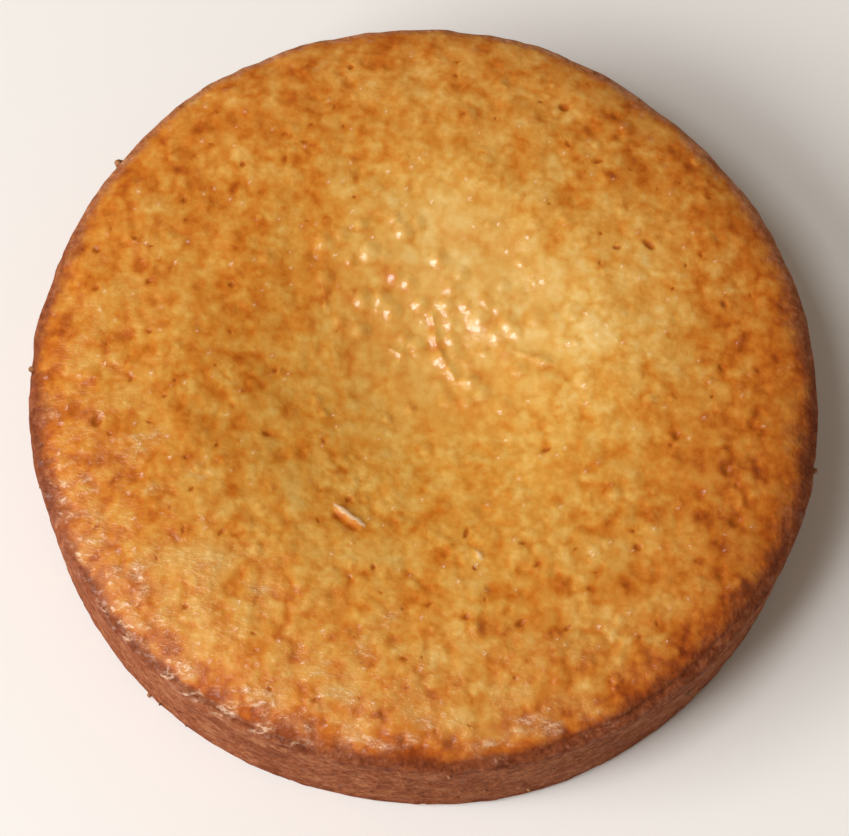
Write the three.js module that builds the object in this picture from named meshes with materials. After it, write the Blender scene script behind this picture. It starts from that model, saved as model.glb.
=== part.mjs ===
// Tea cake: a round, uncut butter sponge, turned out of a slightly tapered tin.
// It is one solid with the browned crust all over: a flat base, a straight wall that took the
// tin's shape, a thin lip where the batter met the tin, and a soft shoulder that rises to a low
// dome, which has sunk into a shallow off-centre dip.
// Millimetres, +Z up. The origin is the middle of the base, and the dip lies a little towards -X.

import * as THREE from "three";
import { ImprovedNoise } from "three/addons/math/ImprovedNoise.js";

// Driving dimensions.
const LIP_RADIUS = 90; // at the wall's top, a 180 mm tin
const BASE_RADIUS = 89; // the tin's taper
const WALL_HEIGHT = 37; // from the base to the lip
const BASE_ROUND = 2.5; // radius of the base's edge

const SHOULDER_RISE = 4.6; // how far the crust climbs above the lip over the shoulder
const SHOULDER_REACH = 6.5; // how quickly it climbs: two thirds of the rise in this distance
const DOME_RISE = 2.4; // further rise from the shoulder to the middle, before the dip
const CREASE_DEPTH = 0.7; // groove between the lip and the shoulder
const CREASE_INSET = 2; // its distance in from the lip
const CREASE_WIDTH = 0.9;

const DIP = { x: -4, y: -1, radius: 57, depth: 8.2 }; // the sunken middle

// Waves round the rim: how often each repeats, its size, and where its first crest stands.
const OUTLINE_WAVES = [
  { repeats: 2, size: 0.43, crest: -44 },
  { repeats: 3, size: 0.38, crest: -17 },
  { repeats: 4, size: 0.21, crest: 21 },
  { repeats: 7, size: 0.2, crest: -19 },
];
const LIP_WAVES = [
  { repeats: 1, size: 0.5, crest: 110 },
  { repeats: 3, size: 0.4, crest: 35 },
  { repeats: 5, size: 0.3, crest: 8 },
];

// Low swells across the crust: how far apart they lie and how high they stand.
const SWELLS = [
  { spacing: 30, size: 1.1 },
  { spacing: 14, size: 0.5 },
];

// How finely the solid is faceted.
const SEGMENTS = 96;
const BASE_EDGE_STEPS = 4;
const WALL_STEPS = 5;
const CRUST_STEPS = 24;
const CRUST_GRADING = 1.5; // above 1, steps are shorter at the lip than in the middle

const CRUST_COLOUR = 0xc98a3c;

const noise = new ImprovedNoise();

// Height above the lip of a perfectly round crust, for a distance in from the lip.
function crustRise(inward) {
  const shoulder = SHOULDER_RISE * (1 - Math.exp(-inward / SHOULDER_REACH));
  const share = inward / LIP_RADIUS;
  const dome = DOME_RISE * share * (2 - share);
  const crease = CREASE_DEPTH * Math.exp(-(((inward - CREASE_INSET) / CREASE_WIDTH) ** 2));
  return shoulder + dome - crease;
}

// The section from the middle of the base, round the wall, to the middle of the crust.
function cakeSection() {
  const section = [new THREE.Vector2(0, 0)];
  for (let step = 0; step <= BASE_EDGE_STEPS; step += 1) {
    const turn = (Math.PI / 2) * (step / BASE_EDGE_STEPS);
    const radius = BASE_RADIUS - BASE_ROUND * (1 - Math.sin(turn));
    section.push(new THREE.Vector2(radius, BASE_ROUND * (1 - Math.cos(turn))));
  }
  for (let step = 1; step <= WALL_STEPS; step += 1) {
    const share = step / WALL_STEPS;
    const radius = THREE.MathUtils.lerp(BASE_RADIUS, LIP_RADIUS, share);
    section.push(new THREE.Vector2(radius, THREE.MathUtils.lerp(BASE_ROUND, WALL_HEIGHT, share)));
  }
  for (let step = 1; step <= CRUST_STEPS; step += 1) {
    const inward = LIP_RADIUS * (step / CRUST_STEPS) ** CRUST_GRADING;
    section.push(new THREE.Vector2(LIP_RADIUS - inward, WALL_HEIGHT + crustRise(inward)));
  }
  return section;
}

// The sum of some waves round the rim at an angle.
function waveAround(waves, angle) {
  return waves.reduce((sum, { repeats, size, crest }) => {
    const phase = repeats * (angle - THREE.MathUtils.degToRad(crest));
    return sum + size * Math.cos(phase);
  }, 0);
}

// How far the crust stands above its perfectly round form at a place seen from above.
function crustUnevenness(x, y) {
  const swell = SWELLS.reduce((sum, { spacing, size }) => {
    return sum + size * noise.noise(x / spacing, y / spacing, size);
  }, 0);
  const fromDip = Math.hypot(x - DIP.x, y - DIP.y) / DIP.radius;
  const dip = fromDip < 1 ? DIP.depth * 0.5 * (1 + Math.cos(Math.PI * fromDip)) : 0;
  const rimShare = Math.hypot(x, y) / LIP_RADIUS;
  const rim = rimShare ** 4 * waveAround(LIP_WAVES, Math.atan2(y, x));
  return swell + rim - dip;
}

// The turned form with the unevenness of a home-baked cake; the base stays flat.
function cakeGeometry() {
  const geometry = new THREE.LatheGeometry(cakeSection(), SEGMENTS);
  geometry.rotateX(Math.PI / 2);
  const points = geometry.getAttribute("position");
  for (let i = 0; i < points.count; i += 1) {
    const x = points.getX(i);
    const y = points.getY(i);
    const z = points.getZ(i);
    const spread = 1 + waveAround(OUTLINE_WAVES, Math.atan2(y, x)) / LIP_RADIUS;
    const share = Math.min(z / WALL_HEIGHT, 1);
    points.setXYZ(i, x * spread, y * spread, z + share * crustUnevenness(x, y));
  }
  geometry.computeBoundingBox();
  const middle = geometry.boundingBox.getCenter(new THREE.Vector3());
  geometry.translate(-middle.x, -middle.y, 0);
  geometry.computeVertexNormals();
  return geometry;
}

function teaCake() {
  const crust = new THREE.MeshStandardMaterial({
    color: CRUST_COLOUR,
    roughness: 0.55,
    metalness: 0,
  });
  const cake = new THREE.Mesh(cakeGeometry(), crust);
  cake.name = "tea_cake";
  return cake;
}

const group = new THREE.Group();
group.name = "tea_cake_part";
group.add(teaCake());

export default group;
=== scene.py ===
"""A round, uncut tea cake on a pale studio floor: one closed sponge with a golden-brown crust.

The cake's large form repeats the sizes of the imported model. The finer relief of its skin, the pores,
bubbles, wrinkles and the rim that the tin left, is modelled on top of that form, and one layered
material follows the same relief.
"""

import logging
import math
from dataclasses import dataclass, field
from enum import Enum
from typing import Any, NamedTuple

import bmesh
import bpy
import numpy as np
from mathutils import Matrix, Vector
from mathutils.kdtree import KDTree


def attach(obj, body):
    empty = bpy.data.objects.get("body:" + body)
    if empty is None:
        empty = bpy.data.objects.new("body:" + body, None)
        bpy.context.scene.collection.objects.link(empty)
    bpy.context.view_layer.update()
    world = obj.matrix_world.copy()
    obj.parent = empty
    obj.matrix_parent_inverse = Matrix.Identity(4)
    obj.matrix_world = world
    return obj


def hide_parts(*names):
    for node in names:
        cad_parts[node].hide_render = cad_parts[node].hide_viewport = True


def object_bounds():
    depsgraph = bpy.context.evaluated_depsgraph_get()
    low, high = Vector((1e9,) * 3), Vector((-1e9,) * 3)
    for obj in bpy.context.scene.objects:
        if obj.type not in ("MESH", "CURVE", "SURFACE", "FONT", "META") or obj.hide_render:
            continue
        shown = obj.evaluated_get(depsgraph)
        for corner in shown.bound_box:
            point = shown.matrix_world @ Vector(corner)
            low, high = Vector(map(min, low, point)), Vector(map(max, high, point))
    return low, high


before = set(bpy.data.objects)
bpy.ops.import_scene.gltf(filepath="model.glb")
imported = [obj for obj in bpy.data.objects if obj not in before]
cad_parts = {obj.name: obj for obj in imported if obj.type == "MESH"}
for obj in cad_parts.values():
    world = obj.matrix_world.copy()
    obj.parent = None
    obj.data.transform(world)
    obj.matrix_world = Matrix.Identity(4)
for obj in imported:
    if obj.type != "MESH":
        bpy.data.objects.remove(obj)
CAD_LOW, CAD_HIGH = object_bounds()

LOG = logging.getLogger("tea_cake")
MM = 0.001
BAKE_MAP = "OFBake"
CAKE_RADIUS = (CAD_HIGH[0] - CAD_LOW[0]) / 2 / MM
CAKE_HEIGHT = (CAD_HIGH[2] - CAD_LOW[2]) / MM

Array = np.ndarray
Socket = bpy.types.NodeSocket


def linear(colour: str) -> tuple[float, float, float, float]:
    """Turns an sRGB hex colour into linear light.

    Args:
        colour: Six hex digits, such as "d49a45".

    Returns:
        Red, green and blue from 0 to 1, and an alpha of 1.
    """
    channels = [int(colour[i : i + 2], 16) / 255 for i in (0, 2, 4)]
    red, green, blue = (c / 12.92 if c <= 0.04045 else ((c + 0.055) / 1.055) ** 2.4 for c in channels)
    return red, green, blue, 1.0


def add_node(
    tree: bpy.types.NodeTree,
    kind: str,
    sockets: dict[str, Any] | None = None,
    stops: tuple[tuple[float, str], ...] = (),
    output: str = "",
    **settings: Any,
) -> Socket:
    """Adds one node with its settings and its links.

    Args:
        tree: The node tree that gets the node.
        kind: The node's type without its "ShaderNode" prefix.
        sockets: For each input, by name or identifier, a value or the output that feeds it.
        stops: Positions and sRGB hex colours of a colour ramp.
        output: The name of the output to give back, if it isn't the first.
        settings: Other properties of the node.

    Returns:
        The output that the next node takes; the last node of a tree has none.
    """
    node = tree.nodes.new("ShaderNode" + kind)
    for name, value in settings.items():
        setattr(node, name, value)
    for index, (position, colour) in enumerate(stops):
        elements = node.color_ramp.elements
        element = elements[index] if index < 2 else elements.new(position)
        element.position = position
        element.color = linear(colour)
    for name, value in (sockets or {}).items():
        socket = next(s for s in node.inputs if s.enabled and name in (s.identifier, s.name))
        if isinstance(value, Socket):
            tree.links.new(value, socket)
        else:
            socket.default_value = value
    return next((s for s in node.outputs if s.enabled and output in ("", s.name)), None)


def new_material(name: str) -> bpy.types.Material:
    """Adds a material whose node tree is still empty."""
    material = bpy.data.materials.new(name)
    material.use_nodes = True
    material.node_tree.nodes.clear()
    return material


def put_in_scene(name: str, data: bpy.types.ID) -> bpy.types.Object:
    """Adds an object that shows some data, such as a mesh or a lamp, and returns it."""
    placed = bpy.data.objects.new(name, data)
    bpy.context.scene.collection.objects.link(placed)
    return placed


def smooth_step(low: float, high: float, value: Array) -> Array:
    """A soft step from 0 at low to 1 at high."""
    share = np.clip((value - low) / (high - low), 0.0, 1.0)
    return share * share * (3.0 - 2.0 * share)


class Noise:
    """Seeded gradient noise in three dimensions, the same at every run."""

    TABLE = 256
    REACH = 1.6  # brings the sum of the corners to about -1 to 1

    def __init__(self, seed: int) -> None:
        """Fills the table of gradients.

        Args:
            seed: Any whole number. Another seed gives another pattern.
        """
        draw = np.random.default_rng(seed)
        self.order = draw.permutation(self.TABLE)
        slopes = draw.normal(size=(self.TABLE, 3))
        self.slopes = slopes / np.linalg.norm(slopes, axis=1, keepdims=True)

    def at(self, places: Array, spacing: float) -> Array:
        """Noise from about -1 to 1.

        Args:
            places: Points, one a row, in millimetres.
            spacing: How far apart the swells lie, in millimetres.

        Returns:
            One value a point.
        """
        scaled = places / spacing
        cell = np.floor(scaled).astype(int)
        inside = scaled - cell
        ease = inside**3 * (inside * (inside * 6 - 15) + 10)
        total = np.zeros(len(places))
        for corner in np.ndindex(2, 2, 2):
            x, y, z = (cell + corner).T % self.TABLE
            row = self.order[(self.order[x] + y) % self.TABLE]
            slope = self.slopes[self.order[(row + z) % self.TABLE]]
            weight = np.prod(np.where(corner, ease, 1 - ease), axis=1)
            total += weight * np.sum(slope * (inside - corner), axis=1)
        return self.REACH * total


@dataclass(frozen=True)
class Wave:
    """A wave round the rim: how often it repeats, its size in mm and where a crest stands in degrees."""

    repeats: int
    size: float
    crest: float

    def at(self, angle: Array) -> Array:
        """Its height at some angles, in radians."""
        return self.size * np.cos(self.repeats * (angle - math.radians(self.crest)))


@dataclass(frozen=True)
class RimSpan:
    """A stretch of the rim: its middle and its reach to each side in degrees, and what it adds there."""

    middle: float
    reach: float
    amount: float

    def at(self, angle: Array) -> Array:
        """What it adds at some angles, in radians, fading out to both sides."""
        away = (np.degrees(angle) - self.middle + 180) % 360 - 180
        return self.amount * np.exp(-((away / self.reach) ** 2))


@dataclass(frozen=True)
class Zone:
    """A soft patch of the crust: its middle, its half width and half depth in mm, and what it adds."""

    x: float
    y: float
    wide: float
    deep: float
    amount: float

    def at(self, points: Array) -> Array:
        """What it adds at some points."""
        away = ((points[:, 0] - self.x) / self.wide) ** 2 + ((points[:, 1] - self.y) / self.deep) ** 2
        return self.amount * np.exp(-away)


@dataclass
class CakeForm:
    """The cake's large form, as the tin and the oven left it. All sizes are in millimetres."""

    lip_radius: float = CAKE_RADIUS
    base_radius: float = CAKE_RADIUS - 1.0
    wall_height: float = 37.0
    base_round: float = 2.5
    shoulder_rise: float = 4.6
    shoulder_reach: float = 6.5
    dome_rise: float = 2.4
    dip_place: tuple[float, float] = (-4.0, -1.0)
    dip_radius: float = 57.0
    dip_depth: float = 8.2
    outline_waves: tuple[Wave, ...] = (
        Wave(2, 0.43, -44),
        Wave(3, 0.38, -17),
        Wave(4, 0.21, 21),
        Wave(7, 0.2, -19),
    )
    lip_waves: tuple[Wave, ...] = (Wave(1, 0.5, 110), Wave(3, 0.4, 35), Wave(5, 0.3, 8))
    lip_wave_power: int = 4  # the lip's waves die out quickly towards the middle
    crust_steps: int = 600
    wall_steps: int = 50
    edge_steps: int = 12

    def crust_rise(self, inward: Array) -> Array:
        """Height of the round crust above the lip.

        Args:
            inward: Distances in from the lip.

        Returns:
            Heights above the wall's top.
        """
        shoulder = self.shoulder_rise * (1 - np.exp(-inward / self.shoulder_reach))
        share = inward / self.lip_radius
        return shoulder + self.dome_rise * share * (2 - share)

    def section(self) -> tuple[Array, Array, Array]:
        """The section from the middle of the crust, down the wall, to the middle of the base.

        Returns:
            Radii, heights and distances along the section, in small steps.
        """
        crust_radius = np.linspace(0, self.lip_radius, self.crust_steps)
        crust_height = self.wall_height + self.crust_rise(self.lip_radius - crust_radius)
        down = np.linspace(0, 1, self.wall_steps)[1:]
        wall_radius = self.lip_radius + (self.base_radius - self.lip_radius) * down
        wall_height = self.wall_height + (self.base_round - self.wall_height) * down
        turn = np.linspace(0, np.pi / 2, self.edge_steps)[1:]
        edge_radius = self.base_radius - self.base_round * (1 - np.cos(turn))
        edge_height = self.base_round * (1 - np.sin(turn))
        radius = np.concatenate([crust_radius, wall_radius, edge_radius, [0.0]])
        height = np.concatenate([crust_height, wall_height, edge_height, [0.0]])
        along = np.concatenate([[0.0], np.cumsum(np.hypot(np.diff(radius), np.diff(height)))])
        return radius, height, along

    def uneven(self, points: Array) -> Array:
        """Gives the turned form its wavy outline, its wavy lip and its dip.

        Args:
            points: Points of the turned form.

        Returns:
            The moved points; the base stays flat.
        """
        x, y, z = points.T
        angle = np.arctan2(y, x)
        spread = 1 + sum(wave.at(angle) for wave in self.outline_waves) / self.lip_radius
        from_dip = np.hypot(x - self.dip_place[0], y - self.dip_place[1]) / self.dip_radius
        dip = self.dip_depth * 0.5 * (1 + np.cos(np.pi * np.minimum(from_dip, 1)))
        near_lip = (np.hypot(x, y) / self.lip_radius) ** self.lip_wave_power
        rim = near_lip * sum(wave.at(angle) for wave in self.lip_waves)
        share = np.minimum(z / self.wall_height, 1)
        return np.column_stack([x * spread, y * spread, z + share * (rim - dip)])


@dataclass
class Skin:
    """The cake's skin: where its points lie on the unrolled section, its triangles and its relief."""

    along: Array  # distance along the section from the middle of the crust
    angle: Array
    triangles: Array
    on_base: Array
    points: Array = field(init=False)
    normals: Array = field(init=False)
    relief: Array = field(init=False)
    crust: Array = field(init=False)  # 1 on the crust, 0 on the wall and the base
    inward: Array = field(init=False)  # distance in from the lip, below 0 down the wall
    # What the material follows, by name; most run from 0 to 1.
    fields: dict[str, Array] = field(default_factory=dict)
    crust_edge: tuple[float, float] = (-0.6, 0.4)  # where the crust passes into the wall

    def lay_on(self, form: CakeForm) -> None:
        """Wraps the unrolled skin round the cake's large form."""
        radius, height, distance = form.section()
        turned = np.interp(self.along, distance, radius)
        rise = np.interp(self.along, distance, height)
        points = np.column_stack([turned * np.cos(self.angle), turned * np.sin(self.angle), rise])
        self.points = form.uneven(points)
        self.inward = distance[np.argmax(radius)] - self.along
        self.crust = smooth_step(*self.crust_edge, self.inward)
        self.relief = np.zeros(len(points))
        self.find_normals()

    def find_normals(self) -> None:
        """Works out the normal at each point, as the average of the triangles that meet there."""
        a, b, c = (self.points[self.triangles[:, i]] for i in range(3))
        facing = np.cross(b - a, c - a)
        total = np.zeros_like(self.points)
        for i in range(3):
            np.add.at(total, self.triangles[:, i], facing)
        self.normals = total / np.linalg.norm(total, axis=1, keepdims=True)

    def offsets(self, x: float, y: float, heading: float = 0.0) -> tuple[Array, Array]:
        """How far the points lie from a place, along a heading and across it.

        Args:
            x: The place.
            y: The place.
            heading: Degrees, from the right towards the back.

        Returns:
            Distances along and across, in millimetres.
        """
        dx = self.points[:, 0] - x
        dy = self.points[:, 1] - y
        turn = math.radians(heading)
        return dx * math.cos(turn) + dy * math.sin(turn), dy * math.cos(turn) - dx * math.sin(turn)

    def raised(self) -> Array:
        """The points with their relief."""
        return self.points + self.normals * self.relief[:, None]


@dataclass(frozen=True)
class Band:
    """A stretch of the section: where it ends, how far apart its points lie, and if it is the base."""

    end: float
    spacing: float
    on_base: bool = False


class Ring(NamedTuple):
    """A ring of points round the skin: its first point, how many it has, and the first one's angle."""

    first: int
    count: int
    turn: float


@dataclass
class SkinGrid:
    """Lays points of nearly even spacing on the unrolled skin and joins them with triangles."""

    form: CakeForm
    crust_spacing: float = 0.655
    wall_spacing: float = 1.05
    base_spacing: float = 4.2
    row_share: float = 0.866  # rows of equal triangles lie this share of their spacing apart
    turn_per_ring: float = 2.4  # radians; no two rings start at the same angle, so no seam shows
    base_rim: float = 10.0  # the ring of the base that the finer triangles of the wall run on to
    gather_reach: float = 2.8
    gather_pull: float = 0.5
    gather_end: tuple[float, float] = (2.0, 6.0)  # how far in from the lip the pull fades in

    def rings(self) -> list[tuple[float, int, bool]]:
        """The rings from the middle of the crust outwards and under.

        Returns:
            For each, its distance along the section, its number of points and if it is on the base.
        """
        radius, _, distance = self.form.section()
        lip = distance[np.argmax(radius)]
        base = distance[-2]
        bands = (
            Band(lip, self.crust_spacing),
            Band(base - math.pi / 2 * self.form.base_round, self.wall_spacing),
            Band(base, self.wall_spacing),
            Band(base + self.base_rim, 2 * self.wall_spacing, True),
            Band(distance[-1] - self.base_spacing, self.base_spacing, True),
        )
        rings = []
        start = 0.0
        for band in bands:
            steps = round((band.end - start) / (band.spacing * self.row_share))
            for step in range(1, steps + 1):
                along = start + (band.end - start) * step / steps
                around = 2 * math.pi * float(np.interp(along, distance, radius))
                rings.append((along, max(6, round(around / band.spacing)), band.on_base))
            start = band.end
        return rings

    def lay(self, spots: list[tuple[float, float]]) -> Skin:
        """Lays the rings, joins them, and gathers the crust's points round some places.

        Args:
            spots: Places on the crust that need finer triangles.

        Returns:
            The skin, not yet wrapped round the cake.
        """
        along = [0.0]
        angle = [0.0]
        triangles: list[tuple[int, int, int]] = []
        on_base: list[bool] = []
        last = Ring(0, 1, 0.0)
        for index, (distance, count, is_base) in enumerate(self.rings()):
            ring = Ring(len(along), count, index * self.turn_per_ring)
            along += [distance] * count
            angle += [ring.turn + 2 * math.pi * step / count for step in range(count)]
            joined = self.join(last, ring) if index else self.fan(0, ring)
            triangles += joined
            on_base += [is_base] * len(joined)
            last = ring
        triangles += [(a, c, b) for a, b, c in self.fan(len(along), last)]
        on_base += [True] * last.count
        along.append(float(self.form.section()[2][-1]))
        angle.append(0.0)
        skin = Skin(np.array(along), np.array(angle), np.array(triangles), np.array(on_base))
        self.gather(skin, spots)
        return skin

    def gather(self, skin: Skin, spots: list[tuple[float, float]]) -> None:
        """Pulls the crust's points towards some places, so that small shapes there are cut sharply."""
        plane = np.column_stack([skin.along * np.cos(skin.angle), skin.along * np.sin(skin.angle)])
        shift = np.zeros_like(plane)
        pulls = np.zeros(len(plane))
        for spot in spots:
            offset = plane - spot
            near = np.flatnonzero(np.abs(offset).max(axis=1) < self.gather_reach)
            share = 1 - (offset[near] ** 2).sum(axis=1) / self.gather_reach**2
            pull = np.maximum(share, 0) ** 2
            shift[near] -= pull[:, None] * offset[near]
            pulls[near] += pull
        shift *= (self.gather_pull / np.maximum(pulls, 1))[:, None]
        nearest, furthest = (self.form.lip_radius - inset for inset in self.gather_end)
        free = 1 - smooth_step(furthest, nearest, skin.along)
        plane += shift * free[:, None]
        moved = free > 0
        skin.along[moved] = np.hypot(*plane[moved].T)
        skin.angle[moved] = np.arctan2(plane[moved, 1], plane[moved, 0])

    @staticmethod
    def fan(middle: int, ring: Ring) -> list[tuple[int, int, int]]:
        """Triangles from a middle point to a ring."""
        return [(middle, ring.first + i, ring.first + (i + 1) % ring.count) for i in range(ring.count)]

    @staticmethod
    def join(inner: Ring, outer: Ring) -> list[tuple[int, int, int]]:
        """Joins two rings by going round both at once, always stepping on the ring that lags.

        Args:
            inner: One ring.
            outer: The next ring along the section.

        Returns:
            The triangles between them.
        """
        first_a, count_a, turn_a = inner
        first_b, count_b, turn_b = outer
        step_a = 2 * math.pi / count_a
        step_b = 2 * math.pi / count_b
        shift = round((turn_a - turn_b) / step_b)
        angle_b = turn_b + shift * step_b - turn_a
        triangles = []
        at_a = 0
        at_b = 0
        while at_a < count_a or at_b < count_b:
            a = first_a + at_a % count_a
            b = first_b + (at_b + shift) % count_b
            next_a = (at_a + 1) * step_a
            next_b = angle_b + (at_b + 1) * step_b
            if at_b >= count_b or (at_a < count_a and next_a < next_b):
                at_a += 1
                triangles.append((a, b, first_a + at_a % count_a))
            else:
                at_b += 1
                triangles.append((a, b, first_b + (at_b + shift) % count_b))
        return triangles


class PoreKind(Enum):
    """The marks that bursting bubbles leave in the crust: half width, stretch, depth in mm and darkness."""

    HOLE = (0.6, 1.25, 0.38, 1.0)
    SLIT = (0.42, 2.1, 0.28, 0.9)
    DIMPLE = (1.15, 1.3, 0.22, 0.15)

    def __init__(self, half_width: float, stretch: float, depth: float, darkness: float) -> None:
        """Names the sizes.

        Args:
            half_width: Half its usual width.
            stretch: How much longer than wide it is.
            depth: Its usual depth.
            darkness: How dark its middle is, from 0 to 1: partly browner crust, partly painted shade in the
                hole.
        """
        self.half_width = half_width
        self.stretch = stretch
        self.depth = depth
        self.darkness = darkness


@dataclass(frozen=True)
class Pore:
    """One mark of a burst bubble: its kind, its place, its heading in degrees and its size."""

    kind: PoreKind
    x: float
    y: float
    heading: float = 0.0
    size: float = 1.0


@dataclass
class Pores:
    """The pores of the crust: few in the dip, more towards the rim."""

    form: CakeForm
    hole_count: int = 55
    slit_count: int = 70
    dimple_count: int = 300
    least_gap: float = 2.4
    rim_margin: float = 4.5
    calm_middle: tuple[float, float] = (6.0, 14.0)  # pores thin out towards here
    calm_reach: float = 60.0
    tries: int = 30  # before a pore that finds no room is left out
    least_size: float = 0.55
    size_range: float = 0.75
    wander: float = 0.25  # how uneven a pore's outline is, as a share of its half width
    wander_spacing: float = 1.5
    # Where its bowl and its dark core pass into the skin, as shares of its half width.
    bowl_edge: tuple[float, float] = (0.2, 1.45)
    core_edge: tuple[float, float] = (0.5, 1.75)
    halo_reach: float = 1.3
    # A pore is worked out this many half lengths from its middle, and this much further out.
    work_lengths: float = 3.0
    work_margin: float = 4.0
    landmarks: tuple[Pore, ...] = (
        Pore(PoreKind.HOLE, 27.6, 70.3, 0, 1.6),
        Pore(PoreKind.HOLE, 39.6, 69.2, -30, 1.3),
        Pore(PoreKind.HOLE, -73.2, -15.6, 60, 1.9),
        Pore(PoreKind.HOLE, 71.5, -28.1, 20, 1.9),
        Pore(PoreKind.HOLE, 69.2, -16.4, 70, 1.4),
        Pore(PoreKind.SLIT, 66.9, 8.1, -50, 1.3),
        Pore(PoreKind.SLIT, 28.4, -14.3, 25, 1.25),
        Pore(PoreKind.SLIT, 11.5, -35.6, 80, 1.35),
        Pore(PoreKind.SLIT, 49.0, 36.9, -38, 1.7),
        Pore(PoreKind.DIMPLE, -67.1, -14.8, 10, 1.3),
        Pore(PoreKind.DIMPLE, 11.5, -82.9, 20, 1.4),
    )
    seed: int = 11

    def strewn(self) -> list[Pore]:
        """All pores: the landmarks, and many more strewn with a least gap between them."""
        draw = np.random.default_rng(self.seed)
        kinds = [PoreKind.HOLE] * self.hole_count
        kinds += [PoreKind.SLIT] * self.slit_count
        kinds += [PoreKind.DIMPLE] * self.dimple_count
        pores = list(self.landmarks)
        for kind in kinds:
            for _ in range(self.tries):
                radius = (self.form.lip_radius - self.rim_margin) * math.sqrt(draw.random())
                turn = 2 * math.pi * draw.random()
                x = radius * math.cos(turn)
                y = radius * math.sin(turn)
                away = math.hypot(x - self.calm_middle[0], y - self.calm_middle[1]) / self.calm_reach
                likely = away**3 > draw.random()
                if likely and min(math.hypot(x - p.x, y - p.y) for p in pores) > self.least_gap:
                    size = self.least_size + self.size_range * draw.random() ** 2
                    pores.append(Pore(kind, x, y, 180 * draw.random(), size))
                    break
        return pores

    def shape(self, skin: Skin, pores: list[Pore]) -> None:
        """Sinks the pores into the skin and fills the fields that darken them.

        Args:
            skin: The skin.
            pores: The pores to cut.
        """
        wander = self.wander * Noise(self.seed + 1).at(skin.points, self.wander_spacing)
        sunk = np.zeros(len(skin.along))
        dark = np.zeros(len(skin.along))
        halo = np.zeros(len(skin.along))
        for pore in pores:
            half = pore.kind.half_width * pore.size
            ahead, across = skin.offsets(pore.x, pore.y, pore.heading)
            reach = self.work_lengths * half * pore.kind.stretch + self.work_margin
            near = np.flatnonzero(np.abs(ahead) + np.abs(across) < reach)
            away = np.hypot(ahead[near] / (half * pore.kind.stretch), across[near] / half) + wander[near]
            bowl = 1 - smooth_step(*self.bowl_edge, away)
            sunk[near] = np.maximum(sunk[near], pore.kind.depth * pore.size * bowl)
            core = 1 - smooth_step(*self.core_edge, away)
            dark[near] = np.maximum(dark[near], pore.kind.darkness * core)
            beyond = np.maximum(np.hypot(ahead[near], across[near]) - half, 0) / self.halo_reach
            halo[near] = np.maximum(halo[near], np.exp(-(beyond**2)))
        skin.relief -= sunk * skin.crust
        # The dark middle of each pore is partly browner crust and partly painted shade in the hole.
        skin.fields["pore"] = dark * skin.crust
        skin.fields["halo"] = halo * skin.crust


@dataclass(frozen=True)
class Lumps:
    """Rounded lumps of one size: how far apart their tops lie and how high they stand, in mm."""

    spacing: float
    height: float
    warp: float = 0.5  # how far they are pushed out of round, as a share of their spacing
    warp_spacing: float = 1.4  # how far apart the pushes lie, as a share of their spacing
    jitter: float = 0.45  # how far each top lies off an even grid, as a share of their spacing
    reach: float = 0.66  # from a top to its foot, as a share of their spacing

    def at(self, points: Array, seed: int) -> Array:
        """How far up a lump each point lies.

        Args:
            points: The skin's points.
            seed: Any whole number. Another seed gives other lumps.

        Returns:
            One value a point, from 0 between the lumps to 1 on their tops.
        """
        draw = np.random.default_rng(seed)
        reach = CAKE_RADIUS + self.spacing
        steps = np.arange(-reach, reach, self.spacing)
        tops = np.array(np.meshgrid(steps, steps)).reshape(2, -1).T
        tops += draw.uniform(-self.jitter, self.jitter, tops.shape) * self.spacing
        tree = KDTree(len(tops))
        for index, (x, y) in enumerate(tops):
            tree.insert((x, y, 0), index)
        tree.balance()
        push = self.warp * self.spacing
        apart = self.warp_spacing * self.spacing
        x = points[:, 0] + push * Noise(seed + 1).at(points, apart)
        y = points[:, 1] + push * Noise(seed + 2).at(points, apart)
        away = np.array([tree.find(place)[2] for place in zip(x, y, np.zeros(len(x)))])
        return 1 - np.minimum(away / (self.reach * self.spacing), 1) ** 2


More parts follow.
